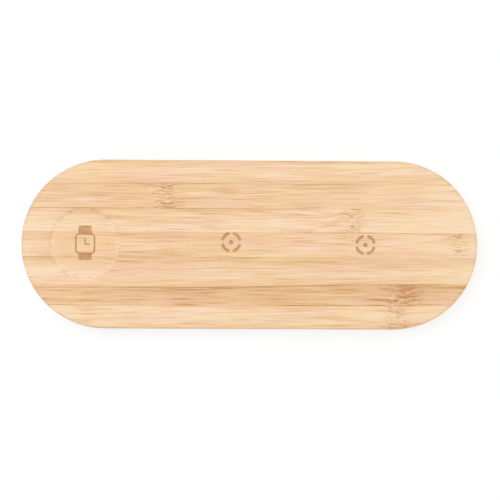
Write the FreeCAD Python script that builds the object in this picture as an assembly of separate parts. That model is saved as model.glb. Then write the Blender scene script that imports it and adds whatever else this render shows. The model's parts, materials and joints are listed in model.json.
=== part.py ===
import FreeCAD
import Part
import math
import os

# Bamboo charging pad with three spots in a row: watch, earbuds and phone.
# The origin is under the middle of the pad, on the surface that it stands on.
# X runs along the pad from the watch to the phone, Y to the rear wall, Z up. Millimetres.

# Plan of the case: the length follows from the places of the three spots
watch_inset = 32.0  # left end to the middle of the watch spot
watch_to_earbuds = 73.5
earbuds_to_phone = 68.0
phone_inset = 56.5  # middle of the phone spot to the right end
case_width = 85.0

# Bamboo case
wall = 4.0
rim = 2.0  # bamboo left around the cover
top_skin = 3.0
top_round = 0.8
bottom_round = 0.6
dish_diameter = 36.6
dish_rim_width = 1.6  # sloped rim of the watch dish
dish_rim_drop = 0.6
dish_floor_sag = 0.5
dish_round = 1.2
boss_radius = 4.2
boss_angle = 45.0  # degrees, from the long axis to the bosses in the round ends
pilot_gap = 0.6  # left between the end of a screw and the top of its boss

# Base cover
cover_thickness = 2.0
cover_gap = 0.2
cover_edge_round = 0.4
rib_gap = 0.3
rib_thickness = 1.4
rib_headroom = 0.3
screw_pad_height = 1.0
screw_floor = 1.2  # plastic under the head of a cover screw
ring_height = 1.2
ring_thickness = 1.2
ring_gap = 0.3

# Feet
foot_drop = 1.0  # how far the feet stand out below the cover
foot_seat = 0.8
foot_radius = 6.5
foot_inset = 13.0  # edge of the cover to the middle of a foot
foot_gap = 0.15
foot_round = 0.4

# Cover screws
screw_radius = 1.3
screw_head_radius = 2.4
screw_head_height = 1.5
screw_head_round = 0.5
well_gap = 0.35
screw_gap = 0.05  # around a shank in its pilot hole
shank_gap = 0.3  # around a shank in the piece that it clamps

# Main board
board_thickness = 1.2
board_gap = 1.2  # edge of the board to the walls beside it
board_coil_gap = 1.5  # edge of the board to the ferrites beside it
board_corner = 3.0
post_height = 1.2
post_radius = 2.6
post_inset = 5.0
board_screw_radius = 0.9
board_screw_head_radius = 1.8
board_screw_head_height = 1.1
board_screw_head_round = 0.35
board_screw_bite = 0.8  # reach of a board screw into the cover

# USB-C socket and the recess for its plug
socket_width = 8.94
socket_height = 3.26
socket_depth = 7.35
socket_metal = 0.3
socket_gap = 0.15  # around the shell in the bamboo wall
socket_headroom = 0.34
plug_recess_width = 13.0
plug_recess_height = 6.6
plug_recess_depth = 2.6
plug_recess_round = 0.5
tongue_width = 6.69
tongue_thickness = 0.7
tongue_setback = 0.6
tongue_block_depth = 2.0
tongue_gap = 0.05

# Parts on the board, placed by shares of its half width and half length
chip_size = 5.0
chip_height = 0.9
chip_place_shares = ((0.05, 0.34), (0.05, 0.06), (0.05, -0.42))
inductor_size = 6.6
inductor_corner = 1.2
inductor_top_gap = 0.9
inductor_place_shares = ((-0.56, 0.50), (0.56, 0.44))
capacitor_length = 3.2
capacitor_width = 2.5
capacitor_height = 1.6
capacitor_place_shares = (
    (-0.60, -0.06), (-0.60, -0.18), (-0.60, -0.30), (-0.60, -0.42),
    (-0.25, -0.60), (0.10, -0.62), (0.40, 0.14),
)

# Status light
led_width = 2.0
led_depth = 1.0
led_height = 1.0
led_setback = 0.2
pipe_radius = 1.0
pipe_gap = 0.1
pipe_flange_radius = 1.4
pipe_flange_thickness = 0.8

# Coils: a flat winding, its ferrite, the adhesive sheet above and the foam pad below
turn_gap = 0.45
crossing_gap = 0.5  # between the inner lead and the turns that it passes under
coil_seat_gap = 0.05
eye_bend_share = 0.75  # of the eye's radius, the bend in which the inner lead joins the first turn
tape_thickness = 0.3
tape_margin = 1.0
tape_gap = 0.3
ferrite_margin = 1.5
ferrite_slot_gap = 0.4
foam_share = 0.6  # of the ferrite's radius
watch_wire = 0.6
watch_eye = 7.0
watch_half_turns = 13
earbud_wire = 0.8
earbud_eye = 8.0
earbud_half_turns = 15
phone_wire = 0.9
phone_eye = 10.0
phone_half_turns = 19
magnet_gap = 0.4

# Leads from the coils to their pads on the board
lead_gap = 0.03
lead_spread = 4.0  # between the two leads of a coil where they leave it
lead_run = 3.0
pad_inset = 6.0
pad_screw_gap = 1.2  # from a pad at the edge of the board to the head of the screw behind it
lane_gap = 3.0  # earbud ferrite to the nearer of the phone coil's leads
lane_pitch = 2.0
bend_share = 0.45  # of the shorter run, taken up by the bend at each corner of a lead

overrun = 1.0  # how far cutting shapes run past the faces that they cut
near = 1e-6  # closeness at which two places count as one

# Levels, from the surface that the pad stands on
case_bottom = foot_drop
cover_top = case_bottom + cover_thickness
rib_top = cover_top + screw_pad_height - rib_headroom
boss_bottom = cover_top + screw_pad_height
board_bottom = cover_top + post_height
board_top = board_bottom + board_thickness
socket_level = board_top + socket_height / 2
ceiling = board_top + socket_height + socket_headroom
case_top = ceiling + top_skin
led_level = board_top + led_height / 2

# Places in plan
case_length = watch_inset + watch_to_earbuds + earbuds_to_phone + phone_inset
end_x = (case_length - case_width) / 2  # middle of each round end
inner_radius = case_width / 2 - wall
watch_x = watch_inset - case_length / 2
earbud_x = watch_x + watch_to_earbuds
phone_x = earbud_x + earbuds_to_phone
case_rear = case_width / 2
mouth_y = case_rear - plug_recess_depth


def vec(x, y, z=0.0):
    return FreeCAD.Vector(x, y, z)


def stadium(inset, low, high):
    """Prism with the outline of the case, drawn in by an inset."""
    radius = case_width / 2 - inset
    right = Part.Arc(vec(end_x, -radius, low), vec(end_x + radius, 0, low), vec(end_x, radius, low))
    left = Part.Arc(vec(-end_x, radius, low), vec(-end_x - radius, 0, low), vec(-end_x, -radius, low))
    rear = Part.LineSegment(vec(end_x, radius, low), vec(-end_x, radius, low))
    front = Part.LineSegment(vec(-end_x, -radius, low), vec(end_x, -radius, low))
    outline = Part.Wire([curve.toShape() for curve in (right, rear, left, front)])
    return Part.Face(outline).extrude(vec(0, 0, high - low))


def disc(x, y, low, high, radius):
    return Part.makeCylinder(radius, high - low, vec(x, y, low))


def block(x, y, low, width, depth, height):
    """Box that stands on a level, centred on a place in plan."""
    return Part.makeBox(width, depth, height, vec(x - width / 2, y - depth / 2, low))


def oblong(x, z, width, height, front, rear):
    """Bar along Y with round ends to its section, such as a USB-C plug has."""
    radius = height / 2
    reach = width / 2 - radius
    upper_right, upper_left = vec(x + reach, front, z + radius), vec(x - reach, front, z + radius)
    lower_right, lower_left = vec(x + reach, front, z - radius), vec(x - reach, front, z - radius)
    right = Part.Arc(lower_right, vec(x + width / 2, front, z), upper_right)
    left = Part.Arc(upper_left, vec(x - width / 2, front, z), lower_left)
    above = Part.LineSegment(upper_right, upper_left)
    below = Part.LineSegment(lower_left, lower_right)
    section = Part.Wire([curve.toShape() for curve in (right, above, left, below)])
    return Part.Face(section).extrude(vec(0, rear - front, 0))


def flat_edges(shape, level):
    """Edges that lie in one horizontal plane."""
    boxes = [(e, e.BoundBox) for e in shape.Edges]
    return [e for e, b in boxes if abs(b.ZMin - level) < near and abs(b.ZMax - level) < near]


def upright_edges(shape):
    return [e for e in shape.Edges if e.BoundBox.XLength < near and e.BoundBox.YLength < near]


def screw_places():
    """Middle of each cover screw and the direction from it to the wall, in degrees."""
    reach = inner_radius - boss_radius
    across = reach * math.sin(math.radians(boss_angle))
    along = end_x + reach * math.cos(math.radians(boss_angle))
    between = (earbud_x + phone_x) / 2
    return [
        (along, across, boss_angle),
        (along, -across, -boss_angle),
        (-along, across, 180 - boss_angle),
        (-along, -across, boss_angle - 180),
        (between, reach, 90),
        (between, -reach, -90),
    ]


def foot_places():
    across = case_width / 2 - rim - cover_gap - foot_inset
    return {
        "foot_front_left": (-end_x, -across),
        "foot_front_right": (end_x, -across),
        "foot_rear_left": (-end_x, across),
        "foot_rear_right": (end_x, across),
    }


class Coil:
    """One charging spot: the sizes and levels of its winding and of what carries it."""

    def __init__(self, x, wire, eye, half_turns, board_side):
        self.x = x
        self.wire = wire
        self.eye = eye
        self.half_turns = half_turns
        self.board_side = board_side  # 1 where the board lies left of the coil, -1 where it lies right of it
        self.pitch = wire + turn_gap
        self.bend = eye_bend_share * eye
        self.last = eye + (half_turns - 1) * self.pitch / 2
        self.outer = self.last + wire / 2 + self.pitch / 2
        self.tape_radius = self.outer + tape_margin
        self.ferrite_radius = self.outer + ferrite_margin
        self.level = ceiling - coil_seat_gap - wire / 2
        self.ferrite_top = ceiling - wire - 2 * coil_seat_gap
        self.ferrite_bottom = self.ferrite_top - wire - crossing_gap
        self.slot_level = self.ferrite_bottom + coil_seat_gap + wire / 2
        self.pad_level = board_top + lead_gap + wire / 2

    def place(self, along, across, level):
        """Point from the coil's own plan, where the board lies on the negative side."""
        return vec(self.x + self.board_side * along, self.board_side * across, level)


watch = Coil(watch_x, watch_wire, watch_eye, watch_half_turns, -1)
earbud = Coil(earbud_x, earbud_wire, earbud_eye, earbud_half_turns, 1)
phone = Coil(phone_x, phone_wire, phone_eye, phone_half_turns, 1)
coils = {"watch": watch, "earbud": earbud, "phone": phone}

board_left = watch_x + watch.ferrite_radius + board_coil_gap
board_right = earbud_x - earbud.ferrite_radius - board_coil_gap
board_x = (board_left + board_right) / 2
board_width = board_right - board_left
board_length = 2 * (inner_radius - board_gap)


def boss(place, low, high):
    """Column for a screw, joined to the wall beside it."""
    x, y, angle = place
    column = disc(x, y, low, high, boss_radius)
    web = Part.makeBox(2 * boss_radius, 2 * boss_radius, high - low, vec(0, -boss_radius, low))
    web.rotate(vec(0, 0), vec(0, 0, 1), angle)
    web.translate(vec(x, y))
    return column.fuse(web)


def head_depth():
    """Depth of the well in which the head of a cover screw sits."""
    return cover_thickness + screw_pad_height - screw_floor


def screw_length():
    """Length of a cover screw under its head."""
    return screw_floor + ceiling - boss_bottom - pilot_gap


def bamboo_case():
    case = stadium(0, case_bottom, case_top)
    case = case.makeFillet(top_round, flat_edges(case, case_top))
    case = case.makeFillet(bottom_round, flat_edges(case, case_bottom))
    case = case.cut(watch_dish())
    case = case.makeFillet(dish_round, dish_rim(case))
    hollow = stadium(wall, case_bottom - overrun, ceiling)
    for place in screw_places():
        hollow = hollow.cut(boss(place, boss_bottom, ceiling + overrun))
    case = case.cut(hollow)
    case = case.cut(stadium(rim, case_bottom - overrun, cover_top))
    for coil in coils.values():
        pocket_radius = coil.tape_radius + tape_gap
        case = case.cut(disc(coil.x, 0, ceiling - overrun, ceiling + tape_thickness, pocket_radius))
    for x, y, angle in screw_places():
        case = case.cut(disc(x, y, boss_bottom - overrun, ceiling - pilot_gap / 2, screw_radius + screw_gap))
    case = case.cut(oblong(
        board_x, socket_level, socket_width + 2 * socket_gap, socket_height + 2 * socket_gap,
        inner_radius - overrun, case_rear,
    ))
    case = case.cut(oblong(
        board_x, socket_level, plug_recess_width, plug_recess_height, mouth_y, case_rear + overrun
    ))
    case = case.makeFillet(plug_recess_round, recess_mouth(case))
    return case.cut(light_bore())


def watch_dish():
    """Shallow dish that the back of a watch lies in: a sagging floor inside a sloped rim."""
    reach = dish_diameter / 2
    floor = reach - dish_rim_width
    low = case_top - dish_rim_drop
    deep = low - dish_floor_sag
    radius = (floor * floor + dish_floor_sag * dish_floor_sag) / (2 * dish_floor_sag)
    halfway = deep + radius - math.sqrt(radius * radius - floor * floor / 4)
    high = case_top + overrun
    middle, edge = vec(0, 0, deep), vec(floor, 0, low)
    corners = [edge, vec(reach, 0, case_top), vec(reach, 0, high), vec(0, 0, high), middle]
    edges = [Part.Arc(middle, vec(floor / 2, 0, halfway), edge).toShape()]
    edges += [Part.LineSegment(a, b).toShape() for a, b in zip(corners, corners[1:])]
    dish = Part.Face(Part.Wire(edges)).revolve(vec(0, 0), vec(0, 0, 1), 360)
    dish.translate(vec(watch_x, 0))
    return dish


def dish_rim(case):
    """Upper edge of the dish."""
    circles = [e for e in flat_edges(case, case_top) if isinstance(e.Curve, Part.Circle)]
    return [e for e in circles if abs(e.Curve.Radius - dish_diameter / 2) < near]


def recess_mouth(case):
    """Edges of the plug recess in the rear face."""
    left = board_x - plug_recess_width / 2 - near
    right = board_x + plug_recess_width / 2 + near
    boxes = [(e, e.BoundBox) for e in case.Edges]
    return [e for e, b in boxes if b.YMin > case_rear - near and b.XMin > left and b.XMax < right]


def light_bore():
    start = vec(board_x, -case_rear - overrun, led_level)
    return Part.makeCylinder(pipe_radius + pipe_gap, wall + 2 * overrun, start, vec(0, 1, 0))


def base_cover():
    cover = stadium(rim + cover_gap, case_bottom, cover_top)
    cover = cover.makeFillet(cover_edge_round, flat_edges(cover, case_bottom))
    rib = stadium(wall + rib_gap, cover_top - cover_thickness / 2, rib_top)
    rib = rib.cut(stadium(wall + rib_gap + rib_thickness, case_bottom, rib_top + overrun))
    cover = cover.fuse(rib)
    for x, y, angle in screw_places():
        cover = cover.fuse(disc(x, y, cover_top - cover_thickness / 2, boss_bottom, boss_radius - rib_gap))
    for coil in coils.values():
        cover = cover.fuse(pad_ring(coil))
    for x, y in post_places():
        cover = cover.fuse(disc(x, y, cover_top - cover_thickness / 2, board_bottom, post_radius))
    for x, y, angle in screw_places():
        well_top = case_bottom + head_depth()
        cover = cover.cut(disc(x, y, case_bottom - overrun, well_top, screw_head_radius + well_gap))
        cover = cover.cut(disc(x, y, case_bottom, boss_bottom + overrun, screw_radius + shank_gap))
    for x, y in post_places():
        pilot_bottom = cover_top - board_screw_bite - pilot_gap / 2
        cover = cover.cut(disc(x, y, pilot_bottom, board_bottom + overrun, board_screw_radius + screw_gap))
    for x, y in foot_places().values():
        seat_top = case_bottom + foot_seat
        cover = cover.cut(disc(x, y, case_bottom - overrun, seat_top, foot_radius + foot_gap))
    return cover.removeSplitter()


def pad_ring(coil):
    """Low ring on the cover that keeps a foam pad in place."""
    inner = coil.ferrite_radius * foam_share + ring_gap
    ring = disc(coil.x, 0, cover_top - cover_thickness / 2, cover_top + ring_height, inner + ring_thickness)
    return ring.cut(disc(coil.x, 0, cover_top, cover_top + ring_height + overrun, inner))


def foot(place):
    x, y = place
    pad = disc(x, y, 0, foot_drop + foot_seat, foot_radius)
    return pad.makeFillet(foot_round, flat_edges(pad, 0))


def cover_screw(x, y):
    seat = case_bottom + head_depth()
    head = disc(x, y, seat - screw_head_height, seat, screw_head_radius)
    head = head.makeFillet(screw_head_round, flat_edges(head, seat - screw_head_height))
    shank = disc(x, y, seat - screw_head_height / 2, seat + screw_length(), screw_radius)
    return head.fuse(shank).removeSplitter()


def post_places():
    across = board_length / 2 - post_inset
    left = board_left + post_inset
    right = board_right - post_inset
    return [(left, across), (right, across), (left, -across), (right, -across)]


def board_screw(x, y):
    head_top = board_top + board_screw_head_height
    head_middle = board_top + board_screw_head_height / 2
    head = disc(x, y, board_top, head_top, board_screw_head_radius)
    head = head.makeFillet(board_screw_head_round, flat_edges(head, head_top))
    shank = disc(x, y, cover_top - board_screw_bite, head_middle, board_screw_radius)
    return head.fuse(shank).removeSplitter()


def main_board():
    board = block(board_x, 0, board_bottom, board_width, board_length, board_thickness)
    board = board.makeFillet(board_corner, upright_edges(board))
    for x, y in post_places():
        hole_radius = board_screw_radius + shank_gap
        board = board.cut(disc(x, y, board_bottom - overrun, board_top + overrun, hole_radius))
    return board


def on_board(shares):
    """Place on the board from shares of its half width and half length."""
    return board_x + shares[0] * board_width / 2, shares[1] * board_length / 2


def driver_chips():
    places = [on_board(shares) for shares in chip_place_shares]
    return [block(x, y, board_top, chip_size, chip_size, chip_height) for x, y in places]


def power_inductors():
    height = ceiling - board_top - inductor_top_gap
    cores = []
    for shares in inductor_place_shares:
        x, y = on_board(shares)
        core = block(x, y, board_top, inductor_size, inductor_size, height)
        cores.append(core.makeFillet(inductor_corner, upright_edges(core)))
    return cores


def resonant_capacitors():
    places = [on_board(shares) for shares in capacitor_place_shares]
    return [block(x, y, board_top, capacitor_length, capacitor_width, capacitor_height) for x, y in places]


def usb_c_shell():
    back = mouth_y - socket_depth
    tube = oblong(board_x, socket_level, socket_width, socket_height, back, mouth_y)
    inner_width = socket_width - 2 * socket_metal
    inner_height = socket_height - 2 * socket_metal
    inside = oblong(board_x, socket_level, inner_width, inner_height, back - overrun, mouth_y + overrun)
    return tube.cut(inside)


def usb_c_tongue():
    back = mouth_y - socket_depth
    inset = 2 * (socket_metal + tongue_gap)
    root_front = back + tongue_block_depth
    root = oblong(board_x, socket_level, socket_width - inset, socket_height - inset, back, root_front)
    front = mouth_y - tongue_setback
    blade = Part.makeBox(
        tongue_width, front - back, tongue_thickness,
        vec(board_x - tongue_width / 2, back, socket_level - tongue_thickness / 2),
    )
    return root.fuse(blade).removeSplitter()


def status_led():
    front = -board_length / 2 + led_setback
    return block(board_x, front + led_depth / 2, board_top, led_width, led_depth, led_height)


def led_light_pipe():
    rod = Part.makeCylinder(pipe_radius, wall, vec(board_x, -case_rear, led_level), vec(0, 1, 0))
    flange = Part.makeCylinder(
        pipe_flange_radius, pipe_flange_thickness, vec(board_x, -inner_radius, led_level), vec(0, 1, 0)
    )
    return rod.fuse(flange).removeSplitter()


def bent_run(points):
    """Edges of straight runs through points, with each corner rounded as far as its runs allow."""
    edges = []
    start = points[0]
    for before, corner, after in zip(points, points[1:], points[2:]):
        back = (before - corner).normalize()
        ahead = (after - corner).normalize()
        trim = bend_share * min((before - corner).Length, (after - corner).Length)
        half_turn = (math.pi - back.getAngle(ahead)) / 2
        radius = trim / math.tan(half_turn)
        inward = (back + ahead).normalize()
        crown = corner + inward * (radius / math.cos(half_turn) - radius)
        bend_start = corner + back * trim
        bend_end = corner + ahead * trim
        edges.append(Part.LineSegment(start, bend_start).toShape())
        edges.append(Part.Arc(bend_start, crown, bend_end).toShape())
        start = bend_end
    edges.append(Part.LineSegment(start, points[-1]).toShape())
    return edges


def winding_turns(coil):
    """Half turns about two middles half a pitch apart, after the bend that leads in from the eye."""
    eye, bend, level = coil.eye, coil.bend, coil.level
    slant = bend * math.sqrt(0.5)
    start = coil.place(eye - bend, -bend, level)
    crown = coil.place(eye - bend + slant, -slant, level)
    edges = [Part.Arc(start, crown, coil.place(eye, 0, level)).toShape()]
    for count in range(coil.half_turns):
        radius = eye + count * coil.pitch / 2
        side = 1 if count % 2 == 0 else -1
        middle = 0 if count % 2 == 0 else coil.pitch / 2
        first = coil.place(middle + side * radius, 0, level)
        crown = coil.place(middle, side * radius, level)
        last = coil.place(middle - side * radius, 0, level)
        edges.append(Part.Arc(first, crown, last).toShape())
    return edges


def lead_ends(coil, name):
    """Points of a coil's two leads between the board and the edge of its ferrite, on its own plan."""
    low = coil.pad_level
    inner, outer = -coil.bend, -coil.bend - lead_spread
    rim_edge = -coil.ferrite_radius
    if name != "phone":
        pad = rim_edge - board_coil_gap - pad_inset
        return (
            [coil.place(pad, inner, low), coil.place(pad + lead_run, inner, low)],
            [coil.place(pad, outer, low), coil.place(pad + lead_run, outer, low)],
        )
    pad = board_right - post_inset + board_screw_head_radius + pad_screw_gap - coil.x
    turn = earbud_x + earbud.ferrite_radius - coil.x
    lane = -earbud.ferrite_radius - lane_gap
    foot_of_drop = rim_edge - 2 * lead_run
    return (
        [coil.place(pad, lane, low), coil.place(turn, lane, low), coil.place(foot_of_drop, inner, low)],
        [
            coil.place(pad, lane - lane_pitch, low),
            coil.place(turn, lane - lane_pitch, low),
            coil.place(foot_of_drop, outer, low),
        ],
    )


def coil_path(coil, name):
    """Wire from the board through the ferrite's slot into the eye, round the turns and back to the board."""
    inner_end, outer_end = lead_ends(coil, name)
    inner, outer = -coil.bend, -coil.bend - lead_spread
    rim_edge = -coil.ferrite_radius
    eye_start = coil.eye - coil.bend
    rise = eye_start - coil.bend
    lead_in = inner_end + [
        coil.place(rim_edge, inner, coil.slot_level),
        coil.place(rise, inner, coil.slot_level),
        coil.place(eye_start - coil.wire, inner, coil.level),
        coil.place(eye_start, inner, coil.level),
    ]
    lead_out = [
        coil.place(-coil.last, 0, coil.level),
        coil.place(-coil.last, outer, coil.level),
        coil.place(rim_edge - coil.wire, outer, coil.level),
    ] + outer_end[::-1]
    return Part.Wire(bent_run(lead_in) + winding_turns(coil) + bent_run(lead_out))


def least_gap(path, wire):
    """Smallest gap between stretches of a tube that aren't neighbours along it."""
    points = path.discretize(Distance=wire)
    skip = 5
    nearest = min(
        (points[i] - points[j]).Length for i in range(len(points)) for j in range(i + skip, len(points))
    )
    return nearest - wire


def coil_winding(coil, name):
    path = coil_path(coil, name)
    start = path.OrderedVertexes[0].Point
    heading = path.OrderedEdges[0].tangentAt(path.OrderedEdges[0].FirstParameter)
    section = Part.Wire(Part.makeCircle(coil.wire / 2, start, heading))
    tube = path.makePipeShell([section], True, False)
    ideal = math.pi * coil.wire * coil.wire / 4 * path.Length
    gap = least_gap(path, coil.wire)
    share = tube.Volume / ideal
    print(f"{name} coil: {path.Length:.0f} long, volume {share:.4f} of ideal, least gap {gap:.2f}")
    return tube


def coil_tape(coil):
    return disc(coil.x, 0, ceiling, ceiling + tape_thickness, coil.tape_radius)


def coil_ferrite(coil):
    """Disc with a slot from its edge to the eye, in which the inner lead lies."""
    ferrite = disc(coil.x, 0, coil.ferrite_bottom, coil.ferrite_top, coil.ferrite_radius)
    length = coil.ferrite_radius + coil.eye - coil.bend + coil.wire
    width = coil.wire + 2 * ferrite_slot_gap
    middle = coil.place(coil.eye - coil.bend + coil.wire - length / 2, -coil.bend, 0)
    height = coil.ferrite_top - coil.ferrite_bottom
    slot = block(
        middle.x, middle.y, coil.ferrite_bottom - overrun, length + 2 * overrun, width, height + 2 * overrun
    )
    return ferrite.cut(slot)


def watch_ferrite():
    hole = disc(watch.x, 0, watch.ferrite_bottom - overrun, ceiling, magnet_radius() + magnet_gap)
    return coil_ferrite(watch).cut(hole)


def magnet_radius():
    return watch.bend - watch.wire / 2 - ferrite_slot_gap - 2 * magnet_gap


def watch_magnet():
    return disc(watch.x, 0, watch.ferrite_bottom, ceiling, magnet_radius())


def foam_pad(coil):
    return disc(coil.x, 0, cover_top, coil.ferrite_bottom, coil.ferrite_radius * foam_share)


def build():
    pieces = {
        "bamboo_case": bamboo_case(),
        "base_cover": base_cover(),
        "cover_screws": Part.makeCompound([cover_screw(x, y) for x, y, angle in screw_places()]),
        "main_board": main_board(),
        "board_screws": Part.makeCompound([board_screw(x, y) for x, y in post_places()]),
        "usb_c_shell": usb_c_shell(),
        "usb_c_tongue": usb_c_tongue(),
        "driver_chips": Part.makeCompound(driver_chips()),
        "power_inductors": Part.makeCompound(power_inductors()),
        "resonant_capacitors": Part.makeCompound(resonant_capacitors()),
        "status_led": status_led(),
        "led_light_pipe": led_light_pipe(),
        "watch_magnet": watch_magnet(),
    }
    for name, place in foot_places().items():
        pieces[name] = foot(place)
    for name, coil in coils.items():
        pieces[name + "_coil"] = coil_winding(coil, name)
        pieces[name + "_coil_tape"] = coil_tape(coil)
        pieces[name + "_ferrite"] = watch_ferrite() if coil is watch else coil_ferrite(coil)
        pieces[name + "_foam_pad"] = foam_pad(coil)
    return pieces


os.makedirs("parts", exist_ok=True)
for piece_name, piece_shape in build().items():
    piece_shape.exportStep("parts/" + piece_name + ".step")
print(f"case {case_length:.1f} x {case_width:.1f} x {case_top:.1f}")
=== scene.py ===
import json
import math

import bmesh
import bpy
from mathutils import Matrix, Vector, noise

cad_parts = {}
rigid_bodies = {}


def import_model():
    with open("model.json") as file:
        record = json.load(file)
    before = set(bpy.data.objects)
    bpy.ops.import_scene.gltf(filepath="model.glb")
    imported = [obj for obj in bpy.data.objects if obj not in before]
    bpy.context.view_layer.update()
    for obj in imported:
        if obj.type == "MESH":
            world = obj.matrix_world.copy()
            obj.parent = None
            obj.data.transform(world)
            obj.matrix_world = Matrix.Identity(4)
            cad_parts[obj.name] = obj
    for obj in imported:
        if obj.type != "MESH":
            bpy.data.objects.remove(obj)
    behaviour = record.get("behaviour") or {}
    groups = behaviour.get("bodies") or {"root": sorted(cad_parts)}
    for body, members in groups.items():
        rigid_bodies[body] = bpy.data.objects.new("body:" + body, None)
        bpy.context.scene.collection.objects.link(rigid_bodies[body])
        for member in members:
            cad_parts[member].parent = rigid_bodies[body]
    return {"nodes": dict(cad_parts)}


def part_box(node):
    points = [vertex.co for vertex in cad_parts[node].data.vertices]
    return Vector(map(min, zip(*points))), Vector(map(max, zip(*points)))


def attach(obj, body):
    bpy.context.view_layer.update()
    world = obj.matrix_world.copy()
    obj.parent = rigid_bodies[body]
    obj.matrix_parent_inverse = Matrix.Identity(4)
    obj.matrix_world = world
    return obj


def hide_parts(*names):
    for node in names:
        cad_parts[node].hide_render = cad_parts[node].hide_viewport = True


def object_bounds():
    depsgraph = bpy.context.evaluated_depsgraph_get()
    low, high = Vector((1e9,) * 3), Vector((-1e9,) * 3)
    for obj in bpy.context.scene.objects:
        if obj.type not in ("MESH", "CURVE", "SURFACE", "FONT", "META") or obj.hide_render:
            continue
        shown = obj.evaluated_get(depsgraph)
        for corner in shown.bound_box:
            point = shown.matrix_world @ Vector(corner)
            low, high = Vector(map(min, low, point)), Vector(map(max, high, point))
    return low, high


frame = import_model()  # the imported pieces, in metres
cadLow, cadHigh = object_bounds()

# Bamboo charging pad from above: watch dish on the left, earbuds in the middle, phone on the right
scene = bpy.context.scene
nodes = frame["nodes"]
mm = 0.001
weld = 0.001 * mm  # points as near as this are one
up = Vector((0, 0, 1))
white = (1.0, 1.0, 1.0, 1.0)
noiseSpan = (0.3, 0.7)  # where most of a noise lies
print("frame:", len(nodes), "pieces, box in mm", [round(v / mm, 1) for v in cadHigh - cadLow])


def tone(red, green, blue):  # a colour as a picker shows it, 0 to 255, made linear
    shares = [value / 255 for value in (red, green, blue)]
    linear = [s / 12.92 if s <= 0.04045 else ((s + 0.055) / 1.055) ** 2.4 for s in shares]
    return (*linear, 1.0)


class Value:  # what one node gives; sums and products of it are further nodes
    def __init__(self, graph, socket):
        self.graph = graph
        self.socket = socket

    def __add__(self, other):
        return self.graph.calc("ADD", self, other)

    __radd__ = __add__

    def __sub__(self, other):
        return self.graph.calc("SUBTRACT", self, other)

    def __rsub__(self, other):
        return self.graph.calc("SUBTRACT", other, self)

    def __mul__(self, other):
        return self.graph.calc("MULTIPLY", self, other)

    def __truediv__(self, other):
        return self.graph.calc("DIVIDE", self, other)

    def span(self, low, high, newLow=0.0, newHigh=1.0):
        return self.graph.feed("ShaderNodeMapRange", self, low, high, newLow, newHigh)[0]

    def between(self, low=0.0, high=1.0):  # draws out a noise
        return self.span(*noiseSpan, low, high)

    def hill(self, middle, reach):  # 1 at the middle, falling off smoothly over the reach
        away = (self - middle) / reach
        return self.graph.calc("EXPONENT", away * away * -1.0)


class Graph:  # the nodes of a material or of the world
    def __init__(self, owner):
        owner.use_nodes = True
        self.tree = owner.node_tree
        self.tree.nodes.clear()

    def add(self, kind, **settings):
        node = self.tree.nodes.new(kind)
        for setting, value in settings.items():
            setattr(node, setting, value)
        return node

    def plug(self, value, socket):
        if isinstance(value, Value):
            self.tree.links.new(value.socket, socket)
        else:
            socket.default_value = value

    def feed(self, kind, *values, **settings):  # a new node with its first sockets filled
        node = self.add(kind, **settings)
        for value, socket in zip(values, node.inputs):
            self.plug(value, socket)
        return [Value(self, socket) for socket in node.outputs]

    def calc(self, operation, *values):
        return self.feed("ShaderNodeMath", *values, operation=operation)[0]

    def length(self, x, y):
        return self.calc("SQRT", x * x + y * y)

    def point(self, x, y, z):
        return self.feed("ShaderNodeCombineXYZ", x, y, z)[0]

    def parts(self, vector):
        return self.feed("ShaderNodeSeparateXYZ", vector)

    def seen(self):  # 1 for what the camera, a reflection or clear plastic shows
        path = self.add("ShaderNodeLightPath").outputs
        rays = [Value(self, path[f"Is {kind} Ray"]) for kind in ("Camera", "Glossy", "Transmission")]
        return self.calc("MAXIMUM", self.calc("MAXIMUM", *rays[:2]), rays[2])


class Finish(Graph):  # one material
    def __init__(self, name, **shading):
        self.material = bpy.data.materials.new(name)
        super().__init__(self.material)
        self.shader = self.add("ShaderNodeBsdfPrincipled")
        self.feed("ShaderNodeOutputMaterial", Value(self, self.shader.outputs[0]))
        self.shade(**shading)

    def shade(self, **sockets):
        for socket, value in sockets.items():
            self.plug(value, self.shader.inputs[socket.replace("_", " ")])
        return self.material

    def place(self):  # where a point is on the pad, in mm
        scaled = self.add("ShaderNodeVectorMath", operation="SCALE")
        self.plug(Value(self, self.add("ShaderNodeTexCoord").outputs["Object"]), scaled.inputs[0])
        scaled.inputs["Scale"].default_value = 1 / mm
        return Value(self, scaled.outputs[0])

    def texture(self, kind, **sockets):
        node = self.add(kind)
        for socket, value in sockets.items():
            self.plug(value, node.inputs[socket])
        return Value(self, node.outputs[0])

    def noise(self, spot, scale=1.0, detail=2.0, rough=0.5):
        return self.texture("ShaderNodeTexNoise", Vector=spot, Scale=scale, Detail=detail, Roughness=rough)

    def cells(self, spot, scale=1.0):
        return self.texture("ShaderNodeTexVoronoi", Vector=spot, Scale=scale)

    def coat(self, colour, rough, height, deep, strength):  # deep is the relief in mm
        bump = self.texture("ShaderNodeBump", Height=height, Distance=deep * mm, Strength=strength)
        return self.shade(Base_Color=colour, Roughness=rough, Normal=bump)

    def ramp(self, share, stops, mode="LINEAR"):
        node = self.add("ShaderNodeValToRGB")
        node.color_ramp.interpolation = mode
        elements = node.color_ramp.elements
        while len(elements) < len(stops):
            elements.new(1.0)
        for element, (place, colour) in zip(elements, stops):
            element.position = place
            element.color = colour if isinstance(colour, tuple) else (colour, colour, colour, 1.0)
        self.plug(share, node.inputs[0])
        return Value(self, node.outputs[0])

    def blend(self, share, first, second, mode="MIX"):
        node = self.add("ShaderNodeMix", data_type="RGBA", blend_type=mode)
        for value, socket in zip((share, first, second), (0, 6, 7)):  # the factor and the two colours
            self.plug(value, node.inputs[socket])
        return Value(self, node.outputs[2])

    def shades(self, share, dark, light):  # between two tones, each from 0 to 255
        return self.blend(share, tone(*dark), tone(*light))


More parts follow.
